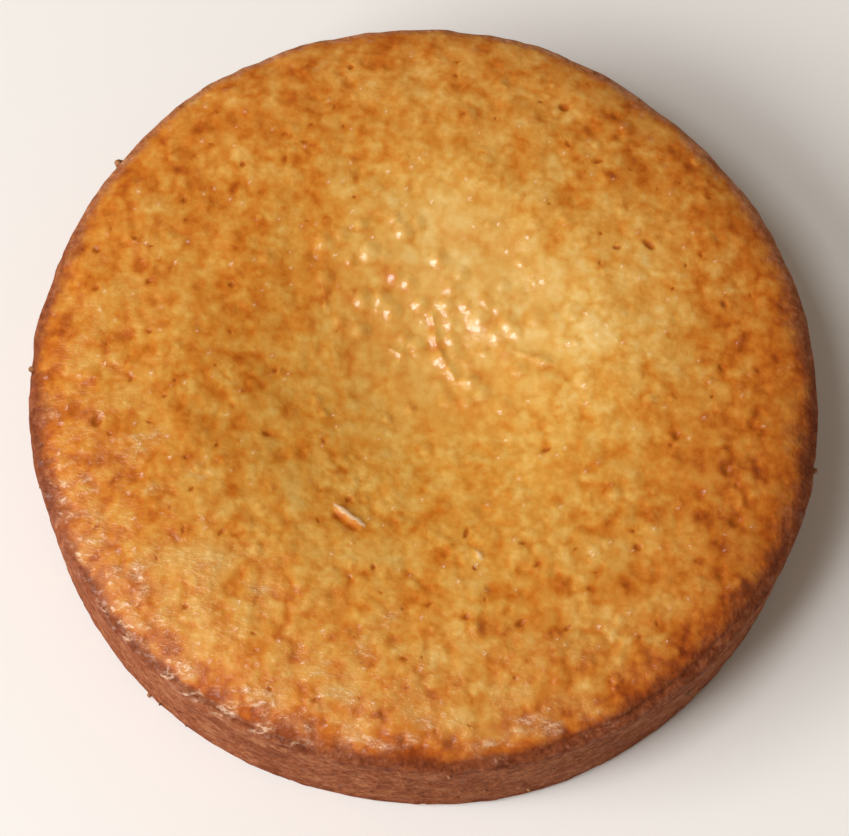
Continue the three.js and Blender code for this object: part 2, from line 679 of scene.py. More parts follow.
@dataclass
class Swells:
    """The batter's soft unevenness, from broad swells down to lumps of a few millimetres."""

    sizes: tuple[tuple[float, float], ...] = ((28.0, 0.55), (13.0, 0.36), (6.5, 0.22))
    big_lumps: Lumps = Lumps(4.6, 0.26)
    small_lumps: Lumps = Lumps(2.3, 0.14)
    back_share: float = 0.4  # how high the lumps at the back are, as a share of those at the front
    back_to_front: tuple[float, float] = (45.0, -55.0)
    calm_middle: tuple[float, float] = (4.0, 15.0)  # the lumps sink into the wet skin of the dip
    calm_span: tuple[float, float] = (10.0, 45.0)
    calm_share: float = 0.3
    patch_spacing: float = 11.0
    least_patch: float = 0.45  # how much of the lumps is left between the patches that have most
    big_weight: float = 1.2  # how strongly the colour follows the big lumps
    small_weight: float = 0.8
    seed: int = 21

    def shape(self, skin: Skin) -> None:
        """Raises the swells and the lumps, and fills the field that follows the lumps."""
        noise = Noise(self.seed)
        for spacing, height in self.sizes:
            skin.relief += height * noise.at(skin.points, spacing) * skin.crust
        forward = smooth_step(*self.back_to_front, skin.points[:, 1])
        front = self.back_share + (1 - self.back_share) * forward
        patches = smooth_step(-0.5, 0.5, Noise(self.seed + 1).at(skin.points, self.patch_spacing))
        patchy = self.least_patch + (1 - self.least_patch) * patches
        big = self.big_lumps.at(skin.points, self.seed + 2) - 0.5
        small = self.small_lumps.at(skin.points, self.seed + 5) - 0.5
        lumps = self.big_lumps.height * big + self.small_lumps.height * small
        away = smooth_step(*self.calm_span, np.hypot(*skin.offsets(*self.calm_middle)))
        free = self.calm_share + (1 - self.calm_share) * away
        skin.relief += lumps * patchy * front * free * skin.crust
        # The lump field pales the lumps' tops and browns the hollows between them: partly the crust's own
        # colour, partly painted shade.
        both = self.big_weight * big + self.small_weight * small
        skin.fields["lump"] = both * patchy * skin.crust


@dataclass(frozen=True)
class Bubble:
    """A small round-topped bump: its place, its half width and its height, in mm."""

    x: float
    y: float
    half_width: float
    height: float


@dataclass
class Bubbles:
    """Bubbles that set under the wet skin of the dip, so that it is bumpy and shines."""

    middle: tuple[float, float] = (3.5, 16.5)
    spread: float = 15.0
    depth_share: float = 0.8  # how far the cloud reaches from front to back, as a share of its width
    count: int = 58
    least_gap: float = 3.1
    scattered: int = 200  # low blisters over the rest of the crust
    rim_margin: float = 5.0
    # The least half width of a bubble and what may be added to it; few are much wider.
    width: tuple[float, float] = (1.2, 1.1)
    width_power: float = 1.5
    # The least height of a bubble as a share of its half width, what may be added to it, and what
    # is added at the left of the cloud.
    steepness: tuple[float, float, float] = (0.15, 0.1, 0.1)
    steep_span: tuple[float, float] = (6.0, -10.0)
    height_share: float = 0.85
    blister_width: tuple[float, float] = (0.8, 1.1)
    blister_power: int = 3
    blister_steepness: tuple[float, float] = (0.08, 0.12)
    foot: float = 1.25  # how far out a bubble's foot lies, as a share of its half width
    foot_width: float = 0.3
    cap_power: float = 1.25  # above 1, a bubble's foot runs softly into the skin
    foot_height: float = 0.1  # the field of the feet leaves out all skin that is raised more
    full_height: float = 0.3  # a bubble this high counts as a full blister
    wet_depth: float = 0.9  # the same for the wet skin of the dip
    wet_reach: float = 2.0  # how far that skin reaches, as a share of the cloud's spread
    strays: tuple[Bubble, ...] = (
        Bubble(-24.3, -5.4, 1.2, 0.4),
        Bubble(-22.5, -8.5, 1.0, 0.3),
        Bubble(-8.0, -8.0, 1.0, 0.28),
        Bubble(-3.0, -5.0, 1.1, 0.32),
        Bubble(-9.8, 39.1, 1.2, 0.35),
        Bubble(-24.5, 20.5, 1.0, 0.28),
        Bubble(-24.0, 17.5, 0.9, 0.26),
    )
    seed: int = 31

    def strewn(self) -> list[Bubble]:
        """All bubbles: the strays, a cloud that thins out round its middle, and the scattered blisters."""
        draw = np.random.default_rng(self.seed)
        bubbles = list(self.strays)
        while len(bubbles) < self.count + len(self.strays):
            x = self.middle[0] + self.spread * draw.normal()
            y = self.middle[1] + self.depth_share * self.spread * draw.normal()
            if min(math.hypot(x - b.x, y - b.y) for b in bubbles) > self.least_gap:
                half_width = self.width[0] + self.width[1] * draw.random() ** self.width_power
                leftward = float(smooth_step(*self.steep_span, x - self.middle[0]))
                least, more, left = self.steepness
                steep = least + more * draw.random() + left * leftward
                bubbles.append(Bubble(x, y, half_width, self.height_share * half_width * steep))
        for _ in range(self.scattered):
            radius = (CAKE_RADIUS - self.rim_margin) * math.sqrt(draw.random())
            turn = 2 * math.pi * draw.random()
            least, more = self.blister_width
            half_width = least + more * draw.random() ** self.blister_power
            least, more = self.blister_steepness
            height = half_width * (least + more * draw.random())
            bubbles.append(Bubble(radius * math.cos(turn), radius * math.sin(turn), half_width, height))
        return bubbles

    def shape(self, skin: Skin, bubbles: list[Bubble]) -> None:
        """Raises the bubbles and fills the fields of their tops, their feet and the dip's wet skin."""
        raised = np.zeros(len(skin.along))
        foot = np.zeros(len(skin.along))
        for bubble in bubbles:
            dx, dy = skin.offsets(bubble.x, bubble.y)
            away = np.hypot(dx, dy) / bubble.half_width
            cap = np.maximum(1 - (away / self.foot) ** 2, 0) ** self.cap_power
            raised = np.maximum(raised, bubble.height * cap)
            foot = np.maximum(foot, np.exp(-(((away - self.foot) / self.foot_width) ** 2)))
        skin.relief += raised
        skin.fields["blister"] = np.clip(raised / self.full_height, 0, 1)
        # The feet's field gives each bubble a browner ring round its foot: painted warm shade.
        skin.fields["gap"] = foot * (raised < self.foot_height)
        dx, dy = skin.offsets(*self.middle)
        away = np.hypot(dx, dy / self.wet_depth) / (self.wet_reach * self.spread)
        skin.fields["wet"] = np.exp(-(away**4)) * skin.crust


@dataclass(frozen=True)
class Ridge:
    """A soft fold, a groove or a flake along a path: its half width and its height, and how pale it is."""

    path: tuple[tuple[float, float], ...]
    half_width: float
    height: float
    paleness: float = 0.0
    taper: float = 0.0  # how far in from its ends it reaches its full height, in millimetres

    def along(self, place: Array) -> tuple[Array, Array]:
        """Where points lie from the path.

        Args:
            place: Points in plan.

        Returns:
            Distances from the path, and distances along it from the nearer end.
        """
        away = np.full(len(place), np.inf)
        at = np.zeros(len(place))
        length = 0.0
        for start, end in zip(self.path, self.path[1:]):
            run = np.subtract(end, start)
            share = np.clip((place - start) @ run / (run @ run), 0, 1)
            distance = np.linalg.norm(place - start - share[:, None] * run, axis=1)
            at = np.where(distance < away, length + share * np.linalg.norm(run), at)
            away = np.minimum(away, distance)
            length += float(np.linalg.norm(run))
        return away, np.minimum(at, length - at)


@dataclass
class Wrinkles:
    """Soft folds in the dip's skin, one curled flake of crust with a hollow beside it, and a pale fleck."""

    # Three folds, the hollow, the flake beside it and the fleck.
    ridges: tuple[Ridge, ...] = (
        Ridge(((0.5, 17.5), (2.1, 10.3), (5.2, 5.1), (6.8, 2.3), (12.4, 2.8)), 0.85, 0.26, taper=2.5),
        Ridge(((19.5, 9.8), (24.0, 8.3), (28.8, 6.8)), 0.85, 0.26, taper=2.5),
        Ridge(((-9.5, 9.5), (-6.0, 8.0), (-3.0, 9.0)), 0.8, 0.18, taper=2.0),
        Ridge(((-18.6, -32.6), (-15.6, -35.0), (-12.2, -37.2)), 0.8, -0.35, taper=1.5),
        Ridge(((-18.2, -31.0), (-15.0, -33.0), (-11.2, -35.5)), 0.9, 0.6, 1.0, taper=2.2),
        Ridge(((14.0, -39.6), (15.2, -41.6)), 0.7, 0.3, 0.75, taper=0.8),
    )
    wander: float = 0.3  # how uneven a ridge's edges are, as a share of its half width
    wander_spacing: float = 1.6
    crest_wander: float = 0.4  # and its height
    end_width: float = 0.45  # how wide a ridge is at its ends, as a share of its middle
    end_height: float = 0.35  # and how high
    foot: float = 1.8  # how far out its foot lies, as a share of its half width
    pale_edge: tuple[float, float] = (0.3, 1.2)
    seed: int = 41

    def spots(self) -> list[tuple[float, float]]:
        """Places along the ridges that need finer triangles."""
        shares = np.linspace(0, 1, 4)
        return [
            tuple(start + (end - start) * share)
            for ridge in self.ridges
            for start, end in zip(np.array(ridge.path), np.array(ridge.path[1:]))
            for share in shares
        ]

    def shape(self, skin: Skin) -> None:
        """Raises the ridges, sinks the groove and fills the fields that colour them."""
        relief = np.zeros(len(skin.along))
        flake = np.zeros(len(skin.along))
        hollow = np.zeros(len(skin.along))
        wander = Noise(self.seed).at(skin.points, self.wander_spacing)
        for ridge in self.ridges:
            away, from_end = ridge.along(skin.points[:, :2])
            full = smooth_step(0, 1, from_end / ridge.taper)
            width = self.end_width + (1 - self.end_width) * full
            height = self.end_height + (1 - self.end_height) * full
            away = away / (ridge.half_width * width) + self.wander * wander
            crest = (1 - smooth_step(0.0, self.foot, away)) * height * (1 + self.crest_wander * wander)
            relief += ridge.height * crest * (away < self.foot)
            flake = np.maximum(flake, ridge.paleness * (1 - smooth_step(*self.pale_edge, away)))
            if ridge.height < 0:
                hollow = np.maximum(hollow, crest)
        skin.relief += relief
        skin.fields["flake"] = flake
        # The hollow field darkens the groove in the colour: painted shade.
        skin.fields["hollow"] = np.clip(hollow, 0, 1)


@dataclass
class RimEdge:
    """The edge that the tin left: rounded at the sides, with a thin lip and a crease along the front."""

    form: CakeForm
    rounding: float = 0.9
    rounding_spans: tuple[RimSpan, ...] = (RimSpan(184, 38, 1.6), RimSpan(5, 45, 2.4))
    lip_height: float = 0.1
    crease_depth: float = 0.1
    crease_inset: float = 1.7
    crease_width: float = 0.6
    crease_wander: float = 0.6
    crease_wander_spacing: float = 12.0
    lip_inset: float = 0.2
    lip_width: float = 0.7
    lip_share: float = 0.45  # how high the lip stands beside a crease, as a share of the crease's depth
    # How strongly the crease is darkened in the colour: painted shade.
    crease_painted_shade: float = 1.2
    # How strongly the lip is lightened in the colour: a painted highlight along its edge.
    lip_painted_highlight: float = 1.3
    crease_spans: tuple[RimSpan, ...] = (RimSpan(304, 22, 0.75), RimSpan(243, 8, 0.9))
    brown_width: float = 1.5  # how far in from the lip the tin's brown reaches
    brown_spans: tuple[RimSpan, ...] = (
        RimSpan(182, 45, 2.8),
        RimSpan(352, 48, 4.4),
        RimSpan(60, 30, 1.2),
        RimSpan(268, 30, 0.9),
    )
    scorch: float = 0.2
    scorch_reach: float = 6.0  # how far in from the lip the oven caught the crust
    scorch_spans: tuple[RimSpan, ...] = (
        RimSpan(185, 34, 0.45),
        RimSpan(225, 26, 0.4),
        RimSpan(272, 36, 0.85),
        RimSpan(310, 25, 0.5),
        RimSpan(350, 35, 0.4),
    )
    scorch_power: float = 1.5
    scorch_below: float = -3.0  # how far down the wall it fades out
    spot_spacing: float = 3.2
    spot_stretch: tuple[float, float, float] = (0.6, 1.0, 1.0)  # its spots are drawn out sideways
    spot_shift: float = 40.0  # so that they take another part of the noise than the patches
    least_scorch: float = 0.75  # how much of the scorch is left between its spots
    spot_scorch: float = 0.5  # and what they add
    wobble: tuple[tuple[float, float], ...] = ((10.0, 0.26), (3.6, 0.16))
    wobble_stretch: tuple[float, float, float] = (1.0, 1.0, 0.4)  # it runs on down the wall
    wobble_span: tuple[float, float] = (12.0, 0.0)  # how far in from the lip the wobble reaches
    wobble_foot: tuple[float, float] = (0.0, 6.0)  # the heights between which it dies out downwards
    drop_reach: float = 14.0  # how far down the wall the rounded edge draws it
    patches: tuple[tuple[float, float], ...] = ((9.0, 0.35), (4.0, 0.12))  # in the browning's width
    wall_edge: tuple[float, float] = (-0.3, 2.1)  # where the tin's brown ends, of the brown's width
    back_span: tuple[float, float] = (-5.0, 60.0)  # from where to where, front to back, the wall pales
    back_edge: tuple[float, float] = (-9.0, -1.0)  # and how far down from the lip
    seed: int = 51

    def round_off(self, skin: Skin) -> None:
        """Rounds the edge and makes the outline wobble.

        Args:
            skin: The skin, wrapped round the cake's large form.
        """
        rounding = self.rounding + sum(span.at(skin.angle) for span in self.rounding_spans)
        share = np.clip(1 - np.maximum(skin.inward, 0) / rounding, 0, 1)
        drop = rounding * (1 - np.sqrt(1 - share**2))
        down_wall = 1 - smooth_step(0, self.drop_reach, -skin.inward)
        skin.points[:, 2] -= np.where(skin.inward > 0, drop, rounding * down_wall)

        noise = Noise(self.seed)
        above_foot = smooth_step(*self.wobble_foot, skin.points[:, 2])
        near_rim = smooth_step(*self.wobble_span, skin.inward) * above_foot
        outward = skin.points[:, :2] / self.form.lip_radius
        for spacing, size in self.wobble:
            shift = size * noise.at(skin.points * self.wobble_stretch, spacing) * near_rim
            skin.points[:, :2] += outward * shift[:, None]
        skin.find_normals()

    def shape(self, skin: Skin) -> None:
        """Raises the lip, cuts the crease and fills the fields that colour the rim."""
        crease = self.crease_depth + sum(span.at(skin.angle) for span in self.crease_spans)
        wander = Noise(self.seed + 1).at(skin.points, self.crease_wander_spacing)
        middle = self.crease_inset + self.crease_wander * wander
        cut = np.exp(-(((skin.inward - middle) / self.crease_width) ** 2))
        lip = np.exp(-(((skin.inward - self.lip_inset) / self.lip_width) ** 2))
        skin.relief -= crease * cut
        skin.relief += (self.lip_height + self.lip_share * crease) * lip * skin.crust
        # The crease field darkens the crease in the colour: painted shade.
        skin.fields["crease"] = np.clip(self.crease_painted_shade * crease, 0, 1) * cut
        # The lip field lightens the lip in the wall's colour: a painted highlight.
        skin.fields["lip"] = np.clip(self.lip_painted_highlight * crease, 0, 1) * lip
        noise = Noise(self.seed + 2)
        patchy = 1 + sum(size * noise.at(skin.points, spacing) for spacing, size in self.patches)
        brown = (self.brown_width + sum(span.at(skin.angle) for span in self.brown_spans)) * patchy
        skin.fields["wall"] = 1 - smooth_step(*self.wall_edge, skin.inward / brown)
        scorch = self.scorch + sum(span.at(skin.angle) for span in self.scorch_spans)
        deep = np.maximum(skin.inward, 0) / (self.scorch_reach * patchy)
        spots = noise.at(skin.points * self.spot_stretch + self.spot_shift, self.spot_spacing)
        spotty = self.least_scorch + self.spot_scorch * smooth_step(-0.5, 0.5, spots)
        above = smooth_step(self.scorch_below, 0, skin.inward)
        skin.fields["scorch"] = scorch * spotty * np.exp(-(deep**self.scorch_power)) * above
        upper = smooth_step(*self.back_edge, skin.inward)
        skin.fields["back"] = smooth_step(*self.back_span, skin.points[:, 1]) * upper


@dataclass
class TinWall:
    """The side that baked against the tin: a fine open crumb, darker along the base."""

    grain: tuple[tuple[float, float], ...] = ((5.0, 0.16), (2.2, 0.18))
    pit_spacing: float = 1.9
    pit_level: float = 0.4  # the noise above this level sinks in
    pit_depth: float = 1.0
    # The pits' darkening with depth is painted shade.
    pit_tone: float = 3.0  # how quickly the pits darken with their depth
    stretched: tuple[float, float, float] = (1.0, 1.0, 0.85)  # cells stand a little tall, as they rose
    smooth_foot: tuple[float, float] = (0.2, 3.0)  # the heights between which the crumb starts
    dark_foot: tuple[float, float] = (0.5, 9.0)  # and those between which the base's brown ends
    seed: int = 61

    def shape(self, skin: Skin) -> None:
        """Roughens the wall."""
        height = skin.points[:, 2]
        wall = (1 - skin.crust) * smooth_step(*self.smooth_foot, height)
        noise = Noise(self.seed)
        for spacing, size in self.grain:
            skin.relief += size * noise.at(skin.points * self.stretched, spacing) * wall
        sunk = Noise(self.seed + 1).at(skin.points * self.stretched, self.pit_spacing)
        pits = np.maximum(sunk - self.pit_level, 0)
        skin.relief -= self.pit_depth * pits * wall
        # The pit field darkens the pits by their depth: painted shade.
        skin.fields["pit"] = np.clip(self.pit_tone * pits, 0, 1) * wall
        skin.fields["foot"] = 1 - smooth_step(*self.dark_foot, height)


@dataclass
class Browning:
    """How the oven coloured the crust: pale over the middle, browner to the rim and in named patches, a few
    of which are painted sheen and painted shade.
    """

    # Broad patches that are browner or, below 0, paler.
    zones: tuple[Zone, ...] = (
        Zone(-42, 18, 22, 28, 0.13),
        # These two zones pale the back of the dip: partly paler crust, partly painted sheen.
        Zone(24, 20, 24, 18, -0.16),
        Zone(-2, 38, 16, 13, -0.19),
        Zone(48, 26, 20, 20, -0.08),
        Zone(8, 76, 36, 12, -0.1),
        Zone(-52, -56, 26, 20, -0.05),
        # These two zones along the far left darken the side that the window lamp lights most: painted
        # shade.
        Zone(-84, 10, 9, 50, 0.06),
        Zone(-76, -20, 12, 26, 0.09),
        Zone(-66, -46, 15, 17, 0.13),
        Zone(-34, -76, 22, 10, 0.06),
        Zone(70, -22, 15, 34, 0.12),
        Zone(74, 26, 12, 30, 0.08),
    )
    # Small spots, browner or paler in the same way.
    spots: tuple[Zone, ...] = (
        Zone(-10, 25, 2.2, 3.4, 1.0),
        Zone(10, 34, 4.5, 2.2, 0.8),
        Zone(17, 33, 1.8, 3.4, 0.8),
        Zone(26, 35, 2.6, 1.8, 0.6),
        Zone(4, 24, 2.6, 2.2, 0.6),
        Zone(22, 5, 4.2, 2.0, 0.6),
        Zone(-7, 2, 2.4, 2.4, 0.5),
        Zone(50, 5, 2.6, 2.2, 0.5),
        Zone(56, -7, 3.4, 2.6, 0.5),
        Zone(54, -22, 3.6, 2.2, 0.6),
        Zone(66, -27, 3.2, 2.2, 0.8),
        Zone(41, -33, 3.0, 2.4, 0.5),
        Zone(-76, -6, 3.0, 2.2, 0.7),
        Zone(-55, -14, 2.6, 3.8, 0.5),
        Zone(-66, -25, 6.0, 3.0, 0.4),
        Zone(-41, -30, 3.0, 3.0, 0.5),
        Zone(-45, 63, 3.4, 2.4, 0.6),
        Zone(-60, 52, 2.6, 2.0, 0.6),
        Zone(-30, 43, 2.4, 3.6, 0.6),
        Zone(41, 53, 3.4, 2.4, 0.5),
        Zone(54, 32, 3.6, 2.6, 0.7),
        Zone(-42, -59, 2.4, 2.0, 0.4),
        Zone(-44, -67, 1.8, 3.0, 0.3),
        Zone(-26, -61, 2.6, 2.4, 0.6),
        Zone(12, -83, 2.6, 1.6, 0.4),
        Zone(34, -63, 2.0, 3.6, 0.7),
        Zone(52, -63, 3.6, 2.4, 0.6),
        # The paler spots below stand where pale lumps catch the light: partly paler crust, partly painted
        # sheen.
        Zone(-16, 31, 3.4, 6.0, -0.5),
        Zone(9, 30, 5.0, 3.4, -0.5),
        Zone(-7, -12, 4.0, 3.4, -0.5),
        Zone(37, 10, 7.0, 8.0, -0.3),
        Zone(49, -59, 2.2, 3.0, -0.8),
        Zone(40, -69, 2.2, 2.4, -0.9),
        Zone(15, -78, 4.0, 1.8, -0.7),
        Zone(-45, -64, 4.0, 3.0, -0.6),
        Zone(-75, -33, 3.0, 4.0, -0.6),
        Zone(82, -9, 1.6, 1.6, -0.9),
    )
    # Where butter came up through the crust, and where its grains are drawn paler: painted sheen.
    buttered: tuple[Zone, ...] = (
        Zone(-60, -58, 24, 22, 1.0),
        Zone(-10, -78, 46, 14, 1.0),
        Zone(-78, -22, 14, 34, 0.7),
        Zone(-30, -50, 34, 20, 0.5),
        Zone(40, -68, 30, 16, 0.8),
        Zone(68, -30, 18, 34, 0.5),
        Zone(-68, 22, 24, 40, 0.4),
    )
    painted_sheen: tuple[Zone, ...] = (
        Zone(-72, -45, 4, 5, 0.9),
        Zone(-63, -53, 5, 6, 1),
        Zone(-65, -59, 4, 3, 0.8),
        Zone(-60, -62, 5, 4, 1),
        Zone(-53, -72, 5, 3, 0.9),
        Zone(-48, -74, 5, 4, 1),
        Zone(-36, -80, 5, 4, 1),
        Zone(-31, -79, 4, 4, 0.9),
        Zone(-44, -48, 4, 3, 0.4),
        Zone(-33, -53, 3, 2, 0.4),
        Zone(-20, -69, 5, 3, 0.5),
        Zone(-83, -14, 3, 3, 0.5),
        Zone(-80, 5, 3, 2, 0.5),
        Zone(-77, -32, 6, 6, 0.8),
        Zone(-61, -18, 3, 2.4, 0.6),
        Zone(-49, -26, 3, 2.4, 0.4),
        Zone(-58, -32, 3, 3, 0.5),
        Zone(-65, -21, 5, 3, 0.4),
        Zone(-14, -77, 4, 4, 0.8),
        Zone(-6, -80, 3, 4, 0.8),
        Zone(-10, -83, 3, 2.4, 0.7),
        Zone(4, -81, 4, 3, 0.9),
        Zone(-6, -86, 5, 2.4, 0.8),
        Zone(27, -79, 3, 2.4, 0.7),
        Zone(22, -84, 5, 2.4, 0.8),
        Zone(-9, -65, 2.4, 3, 0.5),
        Zone(-4, -57, 2.4, 3, 0.5),
        Zone(33, -78, 6, 2.4, 0.6),
        Zone(44, -76, 4, 2, 0.5),
        Zone(-24, -84, 6, 3, 0.6),
    )
    rim_power: float = 2.2  # the larger, the nearer to the rim the crust stays golden
    right_redder: float = 0.2  # how much redder the crust is drawn towards the right
    right_redder_span: tuple[float, float] = (20.0, 85.0)
    left_less_red: float = 0.35  # and how much less red towards the left
    left_less_red_span: tuple[float, float] = (-40.0, -80.0)
    sheen_paint_strength: float = 1.5
    streak_spacing: float = 2.6
    streak_stretch: tuple[float, float, float] = (0.5, 1.0, 1.0)  # the painted sheen runs in streaks sideways
    butter_spacing: float = 7.0
    butter_strength: float = 0.5
    least_butter: float = 0.3  # how much of it is left between its patches
    seed: int = 71

    def shape(self, skin: Skin) -> None:
        """Fills the fields that the crust's colour and its gloss follow."""
        radius = np.hypot(skin.points[:, 0], skin.points[:, 1]) / CAKE_RADIUS
        nothing = np.zeros(len(radius))
        redder_right = 1 + self.right_redder * smooth_step(*self.right_redder_span, skin.points[:, 0])
        less_red_left = 1 - self.left_less_red * smooth_step(*self.left_less_red_span, skin.points[:, 0])
        skin.fields["oven"] = np.clip(radius, 0, 1) ** self.rim_power * redder_right * less_red_left
        skin.fields["browning"] = sum((zone.at(skin.points) for zone in self.zones), nothing)
        skin.fields["spot"] = np.clip(sum((spot.at(skin.points) for spot in self.spots), nothing), -1, 1)
        butter = sum((zone.at(skin.points) for zone in self.buttered), nothing)
        patchy = smooth_step(-0.45, 0.35, Noise(self.seed).at(skin.points, self.butter_spacing))
        drawn_out = Noise(self.seed + 1).at(skin.points * self.streak_stretch, self.streak_spacing)
        streaks = smooth_step(-0.35, 0.45, drawn_out)
        # Painted sheen: zones of paler grains, broken into sideways streaks.
        sheen_paint = sum((zone.at(skin.points) for zone in self.painted_sheen), nothing)
        painted_sheen = np.clip(self.sheen_paint_strength * sheen_paint, 0, 1) * streaks
        skin.fields["painted_sheen"] = painted_sheen * skin.crust
        spread = self.butter_strength * butter * (self.least_butter + (1 - self.least_butter) * patchy)
        skin.fields["butter"] = np.clip(spread + painted_sheen, 0, 1) * skin.crust


@dataclass(frozen=True)
class Mottle:
    """One scale of a finish's unevenness."""

    spacing: float  # how far apart its patches lie, in millimetres
    amount: float
    edge: float = 0.25  # how soft the patches' edges are; smaller is crisper
    detail: float = 2.0
    tall: float = 1.0  # how much longer its patches are up the wall than round it


@dataclass(frozen=True)
class Grit:
    """Small rounded grains that stand out of a skin: how wide and deep they are in plan, in mm."""

    wide: float
    deep: float
    height: float  # in millimetres


@dataclass(frozen=True)
class Beads:
    """Low mounds in the film of butter: how far apart they lie, how wide and how high they are, in mm."""

    spacing: float
    width: float
    height: float


@dataclass
class SkinPattern:
    """The nodes that the skin's patterns share: a tree, the place of each point in mm, and the fields."""

    tree: bpy.types.NodeTree
    place: Socket
    fields: dict[str, Socket]
    layer_shift: tuple[float, float] = (17.0, 5.0)  # so that no two scales share a pattern
    layer_roughness: float = 0.55
    grain_roughness: float = 0.6
    grain_edge: tuple[float, float] = (0.38, 0.66)

    def layered(self, layers: tuple[Mottle, ...], start: Any) -> Socket:
        """Adds up the scales of an uneven finish.

        Args:
            layers: The scales.
            start: The value or output that they are added to.

        Returns:
            The sum.
        """
        total = start
        for index, layer in enumerate(layers):
            sockets = {
                "Vector": self.place,
                "Scale": (1 / layer.spacing, 1 / layer.spacing, 1 / (layer.spacing * layer.tall)),
                "Location": (self.layer_shift[0] * index, self.layer_shift[1] * layer.spacing, 0.0),
            }
            place = add_node(self.tree, "Mapping", sockets)
            sockets = {
                "Vector": place,
                "Scale": 1.0,
                "Detail": layer.detail,
                "Roughness": self.layer_roughness,
            }
            noise = add_node(self.tree, "TexNoise", sockets)
            sockets = {
                "Value": noise,
                "From Min": 0.5 - layer.edge,
                "From Max": 0.5 + layer.edge,
                "To Min": -layer.amount,
                "To Max": layer.amount,
            }
            patches = add_node(self.tree, "MapRange", sockets, interpolation_type="SMOOTHSTEP")
            total = add_node(self.tree, "Math", {"Value": patches, "Value_001": total}, operation="ADD")
        return total

    def with_fields(self, start: Any, amounts: dict[str, float], use_clamp: bool = False) -> Socket:
        """Adds some of the skin's fields to a value.

        Args:
            start: The value or output that they are added to.
            amounts: What each field adds where it is 1.
            use_clamp: Whether the sum stays between 0 and 1.

        Returns:
            The sum.
        """
        total = start
        for name, amount in amounts.items():
            sockets = {"Value": self.fields[name], "Value_001": amount, "Value_002": total}
            total = add_node(self.tree, "Math", sockets, operation="MULTIPLY_ADD", use_clamp=use_clamp)
        return total

    def stepped(self, value: Socket, low: float, high: float, most: float = 1.0) -> Socket:
        """A soft step from 0 at low to most at high."""
        sockets = {"Value": value, "From Min": low, "From Max": high, "To Max": most}
        return add_node(self.tree, "MapRange", sockets, interpolation_type="SMOOTHSTEP")

    def blended(self, share: Socket, first: Any, second: Any) -> Socket:
        """One colour passing into another."""
        return add_node(self.tree, "Mix", {"Factor": share, "A": first, "B": second}, data_type="RGBA")

    def grains(self, grit: Grit) -> Socket:
        """Small grains drawn out sideways, from 0 between them to 1 on their tops."""
        squeeze = (1 / grit.wide, 1 / grit.deep, 1 / grit.deep)
        place = add_node(
            self.tree, "VectorMath", {"Vector": self.place, "Vector_001": squeeze}, operation="MULTIPLY"
        )
        sockets = {"Vector": place, "Scale": 1.0, "Detail": 2.0, "Roughness": self.grain_roughness}
        return self.stepped(add_node(self.tree, "TexNoise", sockets), *self.grain_edge)

    def beaded(self, beads: Beads) -> Socket:
        """Low round mounds strewn over the skin, from 0 between them to 1 on their tops."""
        scale = 1 / beads.spacing
        away = add_node(self.tree, "TexVoronoi", {"Vector": self.place, "Scale": scale}, output="Distance")
        return self.stepped(away, beads.width / 2 * scale, 0.0)

    def summed(self, parts: tuple[tuple[Any, Any], ...], start: Any) -> Socket:
        """Adds products to a value.

        Args:
            parts: Pairs of values or outputs to multiply.
            start: The value or output that the products are added to.

        Returns:
            The sum.
        """
        total = start
        for first, second in parts:
            sockets = {"Value": first, "Value_001": second, "Value_002": total}
            total = add_node(self.tree, "Math", sockets, operation="MULTIPLY_ADD")
        return total


